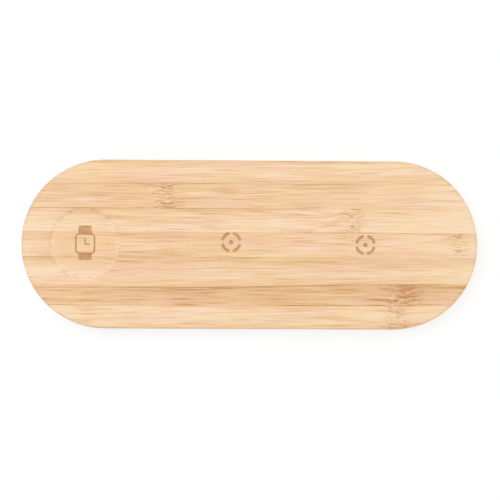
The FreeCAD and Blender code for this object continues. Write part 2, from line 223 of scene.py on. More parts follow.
def meshFrom(name, shape):
    mesh = bpy.data.meshes.new(name)
    shape.to_mesh(mesh)
    shape.free()
    return mesh


def put(name, data):  # a new object in the scene
    thing = bpy.data.objects.new(name, data)
    scene.collection.objects.link(thing)
    return thing


def smooth(mesh, sharp):  # smooth shading, up to an angle in degrees
    mesh.shade_smooth()
    mesh.set_sharp_from_angle(angle=math.radians(sharp))


def dress(part, material):  # finish of the carried-over pieces with this in their name
    for name, node in nodes.items():
        if part in name:
            node.data.materials.clear()
            node.data.materials.append(material)


def newPiece(name, shape, stands=(), materials=(), sharp=None):
    mesh = shape if isinstance(shape, bpy.types.Mesh) else meshFrom(name, shape)
    for material in materials:
        mesh.materials.append(material)
    if sharp:
        smooth(mesh, sharp)
    piece = put(name, mesh)
    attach(piece, "root")
    if stands:
        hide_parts(*stands)
    return piece


def boxOf(name):  # corners of a carried-over piece, in mm
    return [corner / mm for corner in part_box(name)]


def welded(name):  # a carried-over piece as one skin
    shape = bmesh.new()
    shape.from_mesh(nodes[name].data)
    bmesh.ops.remove_doubles(shape, verts=shape.verts, dist=weld)
    return shape


def solidsOf(name):  # box of each separate solid of a carried-over piece, from left to right
    shape = welded(name)
    unseen = set(shape.verts)
    boxes = []
    while unseen:
        reached = [unseen.pop()]
        for vert in reached:
            fresh = {edge.other_vert(vert) for edge in vert.link_edges} & unseen
            unseen -= fresh
            reached.extend(fresh)
        axes = list(zip(*(vert.co for vert in reached)))
        boxes.append((Vector(map(min, axes)), Vector(map(max, axes))))
    shape.free()
    return sorted(boxes, key=lambda box: (round(box[0].x, 5), round(box[0].y, 5)))


def skin(shape, rings):  # walls between rings of as many points, or a single point at an end
    for lower, upper in zip(rings, rings[1:]):
        columns = max(len(lower), len(upper))
        for count in range(columns):
            after = (count + 1) % columns
            pairs = ((lower, count), (lower, after), (upper, after), (upper, count))
            corners = [ring[place % len(ring)] for ring, place in pairs]
            shape.faces.new(list(dict.fromkeys(corners)))


def loopOf(shape, points, level):  # new points at one level, in mm
    return [shape.verts.new((x * mm, y * mm, level * mm)) for x, y in points]


def polar(x, y, radius, angle):  # the point at an angle in degrees
    turn = math.radians(angle)
    return x + radius * math.cos(turn), y + radius * math.sin(turn)


def ringOf(shape, radii, level, x=0.0, y=0.0):  # a ring with a radius for each point
    points = [polar(x, y, radius, 360 * count / len(radii)) for count, radius in enumerate(radii)]
    return loopOf(shape, points, level)


# Camera: almost straight down, as the photograph looks
camera = {
    "lens": 114.3, "sensor": 36.0, "distance": 0.8122, "target": (0.34 * mm, -2.81 * mm, 0.0),
    "tilt": (0.99, 1.09, -0.30),  # degrees about X, Y and Z
}


def aimCamera():
    data = bpy.data.cameras.new("camera")
    data.lens = camera["lens"]
    data.sensor_width = camera["sensor"]
    lean, roll, turn = (math.radians(angle) for angle in camera["tilt"])
    toCamera = Matrix.Rotation(turn, 3, "Z") @ Matrix.Rotation(roll, 3, "Y") @ Matrix.Rotation(lean, 3, "X")
    toWorld = toCamera.transposed()
    place = Vector(camera["target"]) + toWorld @ Vector((0, 0, camera["distance"]))
    scene.camera = put("camera", data)
    scene.camera.matrix_world = Matrix.Translation(place) @ toWorld.to_4x4()


# Light: an even sky and one soft lamp at the upper left
studio = {
    "sky": 0.60, "lampPower": 29.0, "lampSize": 2.0, "lampPlace": (-0.7, 0.7, 2.4), "floorHalf": 6.0,
    "floorColour": (0.80, 0.80, 0.79, 1.0), "floorSeen": (0.32, 0.32, 0.32, 1.0), "floorGlow": 0.72,
}


def lightPad():
    scene.world = bpy.data.worlds.new("whiteRoom")
    graph = Graph(scene.world)
    sky = graph.feed("ShaderNodeBackground", white, studio["sky"])[0]
    backdrop = graph.feed("ShaderNodeBackground", white)[0]
    graph.feed("ShaderNodeOutputWorld", graph.feed("ShaderNodeMixShader", graph.seen(), sky, backdrop)[0])
    data = bpy.data.lights.new("softLamp", "AREA")
    data.energy = studio["lampPower"]
    data.size = studio["lampSize"]
    lamp = put("softLamp", data)
    lamp.location = studio["lampPlace"]
    lamp.rotation_mode = "QUATERNION"
    lamp.rotation_quaternion = (-Vector(studio["lampPlace"])).to_track_quat("-Z", "Y")
    lamp.visible_camera = False


def layFloor():
    finish = Finish("paleFloor", Roughness=1.0, Specular_IOR_Level=0.0, Emission_Color=white)
    seen = finish.seen()
    colour = finish.blend(seen, studio["floorColour"], studio["floorSeen"])  # a soft shadow on white
    finish.shade(Base_Color=colour, Emission_Strength=seen * studio["floorGlow"])
    shape = bmesh.new()
    bmesh.ops.create_grid(shape, x_segments=1, y_segments=1, size=studio["floorHalf"])
    mesh = meshFrom("floor", shape)
    mesh.materials.append(finish.material)
    put("floor", mesh)


aimCamera()
lightPad()
layFloor()
scene.view_settings.view_transform = "Standard"
print("camera, light and floor are set")

# Bamboo: seven glued strips along the pad, pale and streaked, most of them with a knuckle
bamboo = {
    "stripEdges": (42.5, 30.6, 18.3, 6.2, -6.5, -21.6, -30.7, -42.5),  # mm, from the rear
    "stripLight": (  # lightness at the rear edge, in the middle and at the front edge of each strip
        (0.73, 0.88, 0.65), (0.64, 0.70, 0.71), (0.64, 0.88, 0.93), (0.56, 0.77, 0.70),
        (0.48, 0.80, 0.64), (0.34, 0.47, 0.53), (0.84, 0.87, 0.71),
    ),
    "stripLean": (0.04, 0.08, 0.06, 0.05, 0.01, -0.02, -0.01),  # lightness gained towards the right end
    "stripStreaks": (0.80, 0.98, 1.16, 0.88, 0.95, 0.84, 1.14),  # how strong the streaks are
    "stripSlope": (1.6, -1.8, 1.5, -1.4, -1.5, 1.8, -1.7),  # mm that a growth line moves per mm of depth
    "stripSeed": (7.8, 30.0, 52.2, 14.4, 36.6, 58.8, 21.0),
    "stripInset": 0.004, "stripRange": 120.0,  # share of the width; room for any value of a strip
    "leanReach": 57.5, "endReach": 100.0, "endPower": 4.0, "endLighter": 0.20,  # reaches in mm
    "risingEdge": {"strip": 5, "rise": 2.0, "start": -25.0, "end": 75.0, "fade": 7.0},  # mm, front seam
    "lamella": 4.2, "lamellaShift": 8.7, "lamellaSeed": 7.3,  # mm, layers under the top one
    "strands": {  # waves per mm along and across the fibres, octaves, seed, slant, roughness
        "sway": (0.016, 0.05, 1.0), "band": (0.016, 0.36, 2.0), "fibre": (0.055, 2.2, 2.0, 23.0),
        "streak": (0.020, 0.55, 4.0, 11.0, 0.0, 0.75), "tint": (0.03, 0.16, 2.0, 83.0),
    },
    "ticks": {  # waves per mm, start, and a seed and a slant for each way that they lie
        "fleck": (0.085, 0.85, 0.49, ((51.0, 0.0),)),
        "crossed": (0.26, 1.90, 0.55, ((61.0, 0.10), (73.0, -0.08))),
        "pale": (0.28, 1.80, 0.55, ((91.0, 0.08), (97.0, -0.06))),
    },
    "tickRise": 0.13, "bundles": (0.040, 1.5), "bundleSpan": (0.40, 0.40 / 3),  # bundles in waves per mm
    "seamWear": (0.025, 6.0, 3.0), "seamFaint": (0.32, 0.62, 0.15, 1.0),
    "seamHalf": 0.27, "sway": 0.8,  # mm
    "lighter": {  # lightness that each adds
        "band": 0.46, "streak": 1.28, "fibre": 1.10, "dash": -0.42, "seam": -0.48, "fleck": -0.40,
        "crossed": -0.62, "pale": 0.30, "upright": -0.25, "cloud": -0.10, "dish": 0.03,
    },
    "edgePaintedShade": 0.13, "edgeReach": (2.2, 0.3), "edgeDeep": (3.2, 1.2),  # painted shade on the rounded upper edge; mm from the side and from the top
    "tones": (
        (0.00, tone(200, 145, 90)), (0.22, tone(226, 178, 127)), (0.55, tone(242, 201, 155)),
        (0.82, tone(250, 213, 172)), (1.00, tone(255, 226, 191)),
    ),
    "tints": ((0.998, 1.002, 0.91, 1.0), (1.004, 0.976, 1.07, 1.0)),  # yellowish and pinkish stretches
    "burnt": ((192, 136, 80), (220, 173, 121)), "char": (0.6, 3.0), "charSpan": (0.40, 0.95),
    "charStrip": 0.3, "shine": 0.35, "rough": (-0.2, 0.2, 0.46, 0.58),  # roughness goes with the streaks
    "relief": (0.6, 0.4, -0.3), "bump": (0.06, 0.5), "sharp": 32,  # relief of fibres, streaks and dashes
}
dish = {  # mm; the rim's dark, pale and rear rings have an inset, a reach and a lightness; the pale ring is a painted highlight and the rear ring is painted shade on the dish's rear slope
    "middle": (-83.0, 0.0), "radius": 18.3, "fade": 0.8, "calm": 0.40, "rim": 17.7,
    "wobble": 3.5, "wobbleScale": 0.45, "fray": (0.35, 3.0), "fraySpan": (0.42, 0.62),  # scale, octaves
    "dark": (0.0, 0.8, -0.18), "pale": (1.2, 1.2, 0.13), "rear": (0.6, 1.4, -0.20), "rearShadeSpan": (8.0, 17.0),
}
knuckles = [  # x in mm, strip, then in mm the reach left and right, half the knot, waves, dip; strength
    (-42.6, 1, 11.0, 8.0, 8.0, 0.4, 1.4, 0.85),
    (52.0, 2, 26.0, 5.0, 5.5, 0.9, 0.4, 1.0),
    (77.0, 5, 11.0, 10.0, 8.0, 0.4, 1.1, 1.1),
    (74.0, 6, 6.0, 9.0, 6.0, 0.4, 0.7, 0.9),
    (105.5, 3, 7.0, 5.0, 4.5, 0.4, 0.25, 0.8),
    (-81.0, 6, 6.0, 5.0, 3.0, 0.4, 0.3, 0.3),
]
anyKnuckle = {  # mm; noises have waves per mm along and across
    "bow": 1.4, "ridge": (1.0, 2.0), "shade": (3.0, 3.5),  # middle and reach
    "waves": (0.10, 0.22), "waveSpan": (0.25, 0.75), "twists": (0.60, 0.34), "twistSeed": 9.0, "twist": 0.3,
    "uprights": (1.9, 0.22, 5.0), "uprightSpan": (0.55, 0.72), "stronger": 0.1,
}
stripEdges = bamboo["stripEdges"]
stripsWide = stripEdges[0] - stripEdges[-1]
stripShares = [(stripEdges[0] - edge) / stripsWide for edge in stripEdges]


class Grain(Finish):  # bamboo: the strip of a point, its place along a fibre, and what lies near it
    def __init__(self, name):
        super().__init__(name, Specular_IOR_Level=bamboo["shine"])
        self.spot = self.place()
        self.x, self.y, z = self.parts(self.spot)
        self.depth = cadHigh.z / mm - z
        layer = self.calc("FLOOR", self.depth / bamboo["lamella"])
        shifted = self.y - layer * bamboo["lamellaShift"]
        edge = bamboo["risingEdge"]
        lift = self.x.span(edge["start"], edge["end"], 0.0, edge["rise"])
        near = shifted.hill(stripEdges[edge["strip"]] + edge["rise"] / 2, edge["fade"])
        self.across = shifted - lift * near
        self.share = self.calc("FRACT", (stripEdges[0] - self.across) / stripsWide)
        self.seed = self.ofStrip("stripSeed") + layer * bamboo["lamellaSeed"]
        self.tilt = self.ofStrip("stripSlope") * self.depth
        self.line = self.across + self.tilt
        self.line = self.line + self.strands("sway") * bamboo["sway"]
        self.stir = self.knot = self.upright = self.cloud = 0.0
        for knuckle in knuckles:
            self.bend(*knuckle)

    def ofStrip(self, key):  # one number for each strip, kept between 0 and 1 in a stepped ramp
        room = bamboo["stripRange"]
        stops = [(share, 0.5 + value / room) for share, value in zip(stripShares, bamboo[key])]
        return (self.ramp(self.share, stops, "CONSTANT") - 0.5) * room

    def light(self):  # lightness of the bare strips
        inset = bamboo["stripInset"]
        stops = []
        for start, end, lights in zip(stripShares, stripShares[1:], bamboo["stripLight"]):
            stops += zip((start + inset, (start + end) / 2, end - inset), lights)
        plain = self.ramp(self.share, stops)
        lean = self.ofStrip("stripLean") * (self.x / bamboo["leanReach"])
        end = self.calc("POWER", self.x / bamboo["endReach"], bamboo["endPower"])
        return plain + lean + end * bamboo["endLighter"] * plain

    def spread(self, along, across, octaves, seed=0.0, slant=0.0, rough=0.5):  # noise along the fibres
        line = self.line + self.x * slant if slant else self.line
        spot = self.point(self.x * along, line * across, self.seed + seed)
        return self.noise(spot, detail=octaves, rough=rough)

    def patches(self, along, across, seed):  # noise that keeps clear of the fibres' bends
        return self.noise(self.point(self.x * along, self.across * across, seed), detail=1.0)

    def strands(self, name):  # light and dark about 0
        return self.spread(*bamboo["strands"][name]) - 0.5

    def ticks(self, name):  # short flecks with gaps between them
        along, across, start, ways = bamboo["ticks"][name]
        fields = [self.spread(along, across, 1.0, *way) for way in ways]
        return sum(field.span(start, start + bamboo["tickRise"]) for field in fields)

    def bundles(self):  # fibre bundles: dashes along the strips, dots on the ends
        along, across = bamboo["bundles"]
        level = (self.line - self.tilt) * across
        spot = self.point(self.x * along, level, self.depth * across + self.seed)
        return self.cells(spot).span(*bamboo["bundleSpan"])

    def bend(self, x, strip, left, right, knot, wave, dip, strength):  # fibres near one knuckle
        look = anyKnuckle
        rear, front = stripEdges[strip:strip + 2]
        middle, half = (rear + front) / 2, (rear - front) / 2
        inside = self.calc("COMPARE", self.across, middle, half)
        within = inside * strength
        bow = (self.across - middle) / half
        away = self.x + bow * bow * look["bow"] - x
        leftward = self.calc("MINIMUM", away, 0.0).hill(0.0, left)
        rightward = self.calc("MAXIMUM", away, 0.0).hill(0.0, right)
        reach = leftward * rightward * inside
        knotted = away.hill(0.0, knot) * within
        waves = self.patches(*look["waves"], x).span(*look["waveSpan"], -wave, wave)
        twist = self.patches(*look["twists"], x + look["twistSeed"]) - 0.5
        self.line = self.line + reach * reach * dip + reach * waves + knotted * twist * look["twist"]
        self.stir = self.stir + reach * strength
        self.knot = self.knot + knotted
        self.upright = self.upright + away.hill(*look["ridge"]) * within
        self.cloud = self.cloud + away.hill(*look["shade"]) * within

    def uprights(self):  # fibres that stand across a knuckle
        return self.patches(*anyKnuckle["uprights"]).span(*anyKnuckle["uprightSpan"]) * self.upright

    def seams(self):  # thin glue lines between the strips, fainter in places
        along, across, seed = bamboo["seamWear"]
        wear = self.noise(self.point(self.x * along, self.share * across, seed))
        lines = [self.share.hill(share, bamboo["seamHalf"] / stripsWide) for share in stripShares[1:-1]]
        return sum(lines) * wear.span(*bamboo["seamFaint"])

    def inDish(self):  # 1 inside the watch dish, and the lightness of its frayed rim: a dark ring, a painted highlight on the pale ring and painted shade on the rear ring
        offX, offY = (value - middle for value, middle in zip((self.x, self.y), dish["middle"]))
        away = self.length(offX, offY)
        ragged = away + (self.noise(self.spot, dish["wobbleScale"]) - 0.5) * dish["wobble"]
        frayed = self.noise(self.spot, *dish["fray"]).span(*dish["fraySpan"])
        # the pale ring is a painted highlight; the rear ring is painted shade, strongest towards the dish's
        # rear
        shares = {"dark": frayed, "pale": 1.0 - frayed, "rear": offY.span(*dish["rearShadeSpan"])}
        rim = 0.0
        for name, share in shares.items():
            inset, reach, lighter = dish[name]
            rim = rim + ragged.hill(dish["rim"] - inset, reach) * share * lighter
        return away.span(dish["radius"], dish["radius"] - dish["fade"]), rim

    def edge(self):  # painted shade on the rounded upper edge
        radius, straight = cadHigh.y / mm, (cadHigh.x - cadHigh.y) / mm
        past = self.calc("MAXIMUM", self.calc("ABSOLUTE", self.x) - straight, 0.0)
        side = (radius - self.length(past, self.y)).span(*bamboo["edgeReach"])
        return side * self.depth.span(*bamboo["edgeDeep"]) * -bamboo["edgePaintedShade"]


def bambooFinish(name, burnt=False):
    grain = Grain(name)
    by = bamboo["lighter"]
    streak, fibre, dash = grain.strands("streak"), grain.strands("fibre"), grain.bundles()
    dished, rim = grain.inDish()
    calm = dished * -dish["calm"] + grain.knot * anyKnuckle["stronger"] + 1.0
    drawn = (streak * by["streak"] + fibre * by["fibre"]) * grain.ofStrip("stripStreaks") * calm
    marks = {
        "band": grain.strands("band"), "fleck": grain.ticks("fleck") * grain.stir,
        "crossed": grain.ticks("crossed") * grain.knot, "pale": grain.ticks("pale") * grain.knot,
        "upright": grain.uprights(), "cloud": grain.cloud, "seam": grain.seams(), "dash": dash,
        "dish": dished,
    }
    # rim brings the dish's painted highlight and painted shade; grain.edge() brings painted shade on the
    # upper edge
    light = grain.light() + drawn + rim + grain.edge()
    for kind, mark in marks.items():
        light = light + mark * by[kind]
    if burnt:
        char = light * bamboo["charStrip"] + grain.noise(grain.spot, *bamboo["char"])
        colour = grain.shades(char.span(*bamboo["charSpan"]), *bamboo["burnt"])
    else:
        tint = grain.blend(grain.spread(*bamboo["strands"]["tint"]).between(), *bamboo["tints"])
        colour = grain.blend(1.0, grain.ramp(light, bamboo["tones"]), tint, "MULTIPLY")
    height = sum(strand * share for strand, share in zip((fibre, streak, dash), bamboo["relief"]))
    return grain.coat(colour, streak.span(*bamboo["rough"]), height, *bamboo["bump"])


# Marks burnt into the three spots: a plain watch outline and two broken rings, all in mm
marksBurnt = {
    "sink": 0.22, "rise": 1.0, "steps": 10, "dishDeep": 1.1,
    "rings": ((-9.4, 1.3), (58.4, 0.2)), "ringRadius": 4.5, "ringStroke": 1.5, "dotRadius": 1.15,
    "ringGap": 40.0,  # degrees
    "watch": (-82.9, 0.2), "case": (10.2, 10.5, 2.2, 0.8),  # wide, tall, corner, stroke
    "strapWide": 6.8, "strapTaper": 0.3, "strapTop": 3.8, "strapBottom": 3.0, "strapGap": 0.02,
    "hands": ((0.0, 2.6), (0.0, -0.4), (2.0, -0.4)), "handStroke": 0.7,
}


def arcPoints(x, y, radius, start, end):
    steps = marksBurnt["steps"]
    return [polar(x, y, radius, start + (end - start) * count / steps) for count in range(steps + 1)]


def ringPart(x, y, start, end):  # piece of a ring with round ends
    radius, half = marksBurnt["ringRadius"], marksBurnt["ringStroke"] / 2
    first, last = (polar(x, y, radius, angle) for angle in (start, end))
    runs = (
        (x, y, radius + half, start, end), (*last, half, end, end + 180),
        (x, y, radius - half, end, start), (*first, half, start + 180, start + 360),
    )
    return [point for run in runs for point in arcPoints(*run)[:-1]]


def stroke(points, width):  # stroke with one bend and round ends
    half = width / 2
    heads = [math.degrees(math.atan2(b[1] - a[1], b[0] - a[0])) for a, b in zip(points, points[1:])]
    side = sum(heads) / 2 + 90
    reach = half / math.cos(math.radians((heads[1] - heads[0]) / 2))
    left, right = (polar(*points[1], length, side) for length in (reach, -reach))
    start = arcPoints(*points[0], half, heads[0] + 90, heads[0] + 270)
    end = arcPoints(*points[2], half, heads[1] - 90, heads[1] + 90)
    return [right, *end, left, *start]


def roundedBox(x, y, wide, tall, corner):
    offX, offY = wide / 2 - corner, tall / 2 - corner
    points = []
    for turn, (sideX, sideY) in enumerate(((1, 1), (-1, 1), (-1, -1), (1, -1))):
        points += arcPoints(x + sideX * offX, y + sideY * offY, corner, turn * 90, turn * 90 + 90)
    return points


def addPrism(shape, outline, low, high, hole=None):  # upright prism, with a hole of as many points if given
    bottom, top = loopOf(shape, outline, low), loopOf(shape, outline, high)
    if hole:
        skin(shape, [bottom, top, loopOf(shape, hole, high), loopOf(shape, hole, low), bottom])
    else:
        skin(shape, [bottom, top])
        shape.faces.new(bottom[::-1])
        shape.faces.new(top)


def burnCutter(top, dishFloor):
    cut = bmesh.new()
    size = marksBurnt
    low, high = top - size["sink"], top + size["rise"]
    for x, y in size["rings"]:
        for quarter in range(4):
            start = quarter * 90 + size["ringGap"] / 2
            addPrism(cut, ringPart(x, y, start, start + 90 - size["ringGap"]), low, high)
        addPrism(cut, arcPoints(x, y, size["dotRadius"], 0, 360)[:-1], low, high)
    low, high = dishFloor - size["sink"], dishFloor + size["rise"]
    x, y = size["watch"]
    wide, tall, corner, line = size["case"]
    inner = roundedBox(x, y, wide - 2 * line, tall - 2 * line, corner - line)
    addPrism(cut, roundedBox(x, y, wide, tall, corner), low, high, hole=inner)
    half, narrow = size["strapWide"] / 2, size["strapWide"] / 2 - size["strapTaper"]
    for side, length in ((1, size["strapTop"]), (-1, size["strapBottom"])):
        near, far = y + side * (tall / 2 + size["strapGap"]), y + side * (tall / 2 + length)
        strap = [(x - half, near), (x + half, near), (x + narrow, far), (x - narrow, far)]
        addPrism(cut, strap[::side], low, high)
    hands = [(x + offX, y + offY) for offX, offY in size["hands"]]
    addPrism(cut, stroke(hands, size["handStroke"]), low, high)
    return meshFrom("burnCutter", cut)


def carved(mesh, cutterMesh, weighted=False):  # the mesh less the cutter, in the cutter's finish there
    blank, cutter = put("blank", mesh), put("cutter", cutterMesh)
    cut = blank.modifiers.new("cut", "BOOLEAN")
    cut.object = cutter
    cut.operation = "DIFFERENCE"
    cut.solver = "EXACT"
    cut.material_mode = "TRANSFER"
    if weighted:  # keeps the wide flat faces flat
        even = blank.modifiers.new("even", "WEIGHTED_NORMAL")
        even.weight = 100
        even.keep_sharp = True
    bpy.context.view_layer.update()
    result = bpy.data.meshes.new_from_object(blank.evaluated_get(bpy.context.evaluated_depsgraph_get()))
    result.name = mesh.name
    for piece in (blank, cutter):
        bpy.data.objects.remove(piece)
    for spent in (mesh, cutterMesh):
        bpy.data.meshes.remove(spent)
    return result


def makeBody():
    mesh = meshFrom("bamboo_body", welded("bamboo_case"))
    mesh.materials.clear()
    for attribute in ("custom_normal", "sharp_face"):
        if attribute in mesh.attributes:
            mesh.attributes.remove(mesh.attributes[attribute])
    smooth(mesh, bamboo["sharp"])
    mesh.materials.append(bambooFinish("bamboo"))
    top = cadHigh.z / mm
    cutter = burnCutter(top, top - marksBurnt["dishDeep"])
    cutter.materials.append(bambooFinish("bambooBurnt", burnt=True))
    body = newPiece("bamboo_body", carved(mesh, cutter, weighted=True), ["bamboo_case"])
    print("bamboo body:", len(body.data.polygons), "faces,", [m.name for m in body.data.materials])


makeBody()

# Plain finishes: slow patches of two tones under a fine grain
plainFinishes = {  # two tones, waves per mm of patches and grain, sink in mm, roughness, shine, metal
    "coverPlastic": ((40, 40, 42), (62, 62, 64), 0.05, 5.0, 0.05, (0.50, 0.74), 0.4, 0.0),  # spark-eroded
    "footSilicone": ((74, 74, 77), (94, 94, 97), 0.30, 9.0, 0.02, (0.66, 0.86), 0.35, 0.0),
    "socketPlastic": ((38, 38, 39), (54, 54, 55), 0.5, 12.0, 0.01, (0.40, 0.55), 0.45, 0.0),
    "chipResin": ((36, 36, 38), (56, 56, 58), 0.4, 8.0, 0.02, (0.55, 0.75), 0.35, 0.0),
    "inductorCore": ((78, 78, 79), (116, 115, 114), 3.0, 6.0, 0.04, (0.45, 0.70), 0.5, 0.35),  # iron powder
    "ferrite": ((56, 56, 59), (78, 78, 80), 0.8, 4.0, 0.03, (0.40, 0.62), 0.5, 0.2),  # sintered and dull
    "adhesiveSheet": ((226, 222, 208), (238, 236, 226), 0.25, 2.0, 0.02, (0.35, 0.55), 0.5, 0.0),
    "capacitorBody": ((188, 160, 122), (208, 182, 146), 1.2, 10.0, 0.01, (0.30, 0.45), 0.5, 0.0),
    "ledBody": ((232, 232, 226), (246, 246, 242), 1.5, 12.0, 0.01, (0.35, 0.50), 0.5, 0.0),
    "ledResin": ((238, 226, 150), (246, 238, 178), 2.0, 9.0, 0.01, (0.12, 0.25), 0.55, 0.0),
}
plainGrain = {"octaves": 3.0, "share": 0.4, "toneSpan": (0.45, 0.95), "bump": 0.7}


def plainFinish(name):
    dark, light, patchScale, grainScale, sink, rough, shine, metal = plainFinishes[name]
    finish = Finish(name, Specular_IOR_Level=shine, Metallic=metal)
    spot, octaves = finish.place(), plainGrain["octaves"]
    grain, patch = (finish.noise(spot, scale, octaves) for scale in (grainScale, patchScale))
    mixed = (patch + grain * plainGrain["share"]).span(*plainGrain["toneSpan"])
    colour = finish.shades(mixed, dark, light)
    return finish.coat(colour, grain.between(*rough), grain, sink, plainGrain["bump"])


# Metals: fine lines and faint stains
metalFinishes = {  # two tones, waves per mm of the lines along each axis, roughness
    "screwSteel": ((168, 168, 170), (204, 204, 206), (3.0, 3.0, 0.4), (0.24, 0.42)),
    "socketMetal": ((196, 194, 190), (222, 220, 216), (9.0, 0.3, 9.0), (0.20, 0.36)),
    "contactGold": ((222, 176, 92), (244, 206, 128), (12.0, 0.5, 12.0), (0.18, 0.30)),
    "tin": ((190, 191, 194), (216, 217, 220), (4.0, 4.0, 4.0), (0.25, 0.45)),
    "magnetPlating": ((200, 198, 193), (226, 224, 220), (2.0, 2.0, 2.0), (0.12, 0.26)),
}
metalLines = {"octaves": 4.0, "crisp": 0.6, "stain": 0.6, "bump": (0.01, 0.4)}


def metalFinish(name):
    dark, light, scales, rough = metalFinishes[name]
    finish = Finish(name, Metallic=1.0)
    axes = finish.parts(finish.place())
    drawn = finish.point(*(axis * scale for axis, scale in zip(axes, scales)))
    lines = finish.noise(drawn, detail=metalLines["octaves"], rough=metalLines["crisp"])
    colour = finish.shades(finish.noise(finish.place(), metalLines["stain"]), dark, light)
    return finish.coat(colour, lines.between(*rough), lines, *metalLines["bump"])


dress("base_cover", plainFinish("coverPlastic"))
dress("foot_", plainFinish("footSilicone"))
dress("usb_c_shell", metalFinish("socketMetal"))
dress("usb_c_tongue", plainFinish("socketPlastic"))
dress("power_inductors", plainFinish("inductorCore"))
dress("watch_magnet", metalFinish("magnetPlating"))
dress("_ferrite", plainFinish("ferrite"))
dress("_tape", plainFinish("adhesiveSheet"))
print("cover, feet, socket and inner sheets have their finishes")

# Screws: round head with a cross recess, and a thread that ends in a blunt point, in mm
screws = {
    "cover_screws": {
        "headTall": 1.5, "edge": 0.5, "shank": 1.3, "pitch": 0.95, "thread": 0.26, "point": 1.1,
        "cross": 2.9, "bar": 0.62, "crossDeep": 0.85, "headDown": True,
    },
    "board_screws": {
        "headTall": 1.1, "edge": 0.4, "shank": 0.9, "pitch": 0.6, "thread": 0.18, "point": 0.7,
        "cross": 2.1, "bar": 0.46, "crossDeep": 0.6, "headDown": False,
    },
}
anyScrew = {  # tip, crest and crossFloor are shares of the shank, the pitch and the cross
    "columns": 24, "edgeSteps": 4, "pitchSteps": 6, "tip": 0.35, "crest": 0.32,
    "crossRise": 0.4, "crossFloor": 0.55, "sharp": 34,
}


def screwMesh(size, headRadius, length):  # along Z from the outer face of the head
    columns, edge, headTall, pitch = anyScrew["columns"], size["edge"], size["headTall"], size["pitch"]
    shape = bmesh.new()
    rings = [ringOf(shape, [0.0], 0.0)]
    for count in range(anyScrew["edgeSteps"] + 1):  # rounded edge of the head
        angle = math.radians(90 * count / anyScrew["edgeSteps"])
        radius = headRadius - edge * (1 - math.sin(angle))
        rings.append(ringOf(shape, [radius] * columns, edge * (1 - math.cos(angle))))
    rings.append(ringOf(shape, [headRadius] * columns, headTall))
    root, tip = size["shank"] - size["thread"], anyScrew["tip"]
    steps = math.ceil((length - headTall) / pitch * anyScrew["pitchSteps"])
    for count in range(steps + 1):
        level = headTall + (length - headTall) * count / steps
        taper = min(1.0, tip + (1 - tip) * (length - level) / size["point"])
        phases = [(level / pitch - column / columns) % 1.0 for column in range(columns)]
        crests = [max(0.0, 1 - abs(phase - 0.5) / anyScrew["crest"]) for phase in phases]
        rings.append(ringOf(shape, [(root + size["thread"] * crest) * taper for crest in crests], level))
    rings.append(ringOf(shape, [0.0], length))
    skin(shape, rings)
    bmesh.ops.recalc_face_normals(shape, faces=shape.faces)
    return meshFrom("screw", shape)


def crossCutter(size):  # plus-shaped recess that narrows to its floor
    arm, half = size["cross"] / 2, size["bar"] / 2
    outline = []
    for cos, sin in ((1, 0), (0, 1), (-1, 0), (0, -1)):  # quarter turns
        for x, y in ((arm, -half), (arm, half), (half, half)):
            outline.append((x * cos - y * sin, x * sin + y * cos))
    shape = bmesh.new()
    loops = []
    for level, share in ((-anyScrew["crossRise"], 1.0), (size["crossDeep"], anyScrew["crossFloor"])):
        loops.append(loopOf(shape, [(x * share, y * share) for x, y in outline], level))
    skin(shape, loops)
    for loop in loops:
        shape.faces.new(loop)
    bmesh.ops.recalc_face_normals(shape, faces=shape.faces)
    return meshFrom("crossCutter", shape)


def makeScrews(node, finish):
    size = screws[node]
    boxes = solidsOf(node)
    low, high = boxes[0]
    headRadius, length = (high.x - low.x) / 2 / mm, (high.z - low.z) / mm
    blank = carved(screwMesh(size, headRadius, length), crossCutter(size))
    shape = bmesh.new()
    for low, high in boxes:
        place = (low + high) / 2
        place.z = low.z if size["headDown"] else high.z
        turn = Matrix.Rotation(0.0 if size["headDown"] else math.pi, 4, "X")
        single = blank.copy()
        single.transform(Matrix.Translation(place) @ turn)
        shape.from_mesh(single)
        bpy.data.meshes.remove(single)
    bpy.data.meshes.remove(blank)
    mesh = meshFrom(node + "_cut", shape)
    mesh.materials.clear()
    newPiece(node + "_cut", mesh, [node], [finish], anyScrew["sharp"])
    print(node, "cut with heads and threads:", len(boxes), "screws,", len(mesh.polygons), "faces")


screwSteel = metalFinish("screwSteel")
for node in screws:
    makeScrews(node, screwSteel)

# Socket: gold contacts along both faces of the tongue, in mm
contacts = {
    "count": 12, "pitch": 0.5, "wide": 0.26, "thick": 0.05, "start": 2.3, "setback": 0.4, "blade": 0.7,
    "corner": 0.4, "sharp": 40,  # corner is a share of the width
}


def makeContacts():
    size = contacts
    low, high = boxOf("usb_c_tongue")
    middle = (low + high) / 2
    back, front = low.y + size["start"], high.y - size["setback"]
    corner = size["wide"] * size["corner"]
    shape = bmesh.new()
    for side in (1, -1):
        face = middle.z + side * size["blade"] / 2
        levels = sorted((face, face + side * size["thick"]))
        for count in range(size["count"]):
            x = middle.x + (count - (size["count"] - 1) / 2) * size["pitch"]
            outline = roundedBox(x, (back + front) / 2, size["wide"], front - back, corner)
            addPrism(shape, outline, *levels)
    newPiece("usb_c_contacts", shape, (), [metalFinish("contactGold")], size["sharp"])
    print("socket contacts:", 2 * size["count"])


makeContacts()

# Status light: clear rod in the front wall and a small lamp behind it
lightPipe = {
    "colour": tone(250, 249, 246), "rough": (0.16, 0.30), "bend": 1.49, "clear": 0.2,
    "ripple": 1.5, "bump": (0.01, 0.3),
}
lampBody = {"edge": 0.08, "frame": 0.14, "sink": 0.12}  # mm


def pipeFinish():
    finish = Finish("clearAcrylic", Transmission_Weight=lightPipe["clear"], IOR=lightPipe["bend"])
    ripple = finish.noise(finish.place(), lightPipe["ripple"])
    rough = ripple.between(*lightPipe["rough"])
    return finish.coat(lightPipe["colour"], rough, ripple, *lightPipe["bump"])


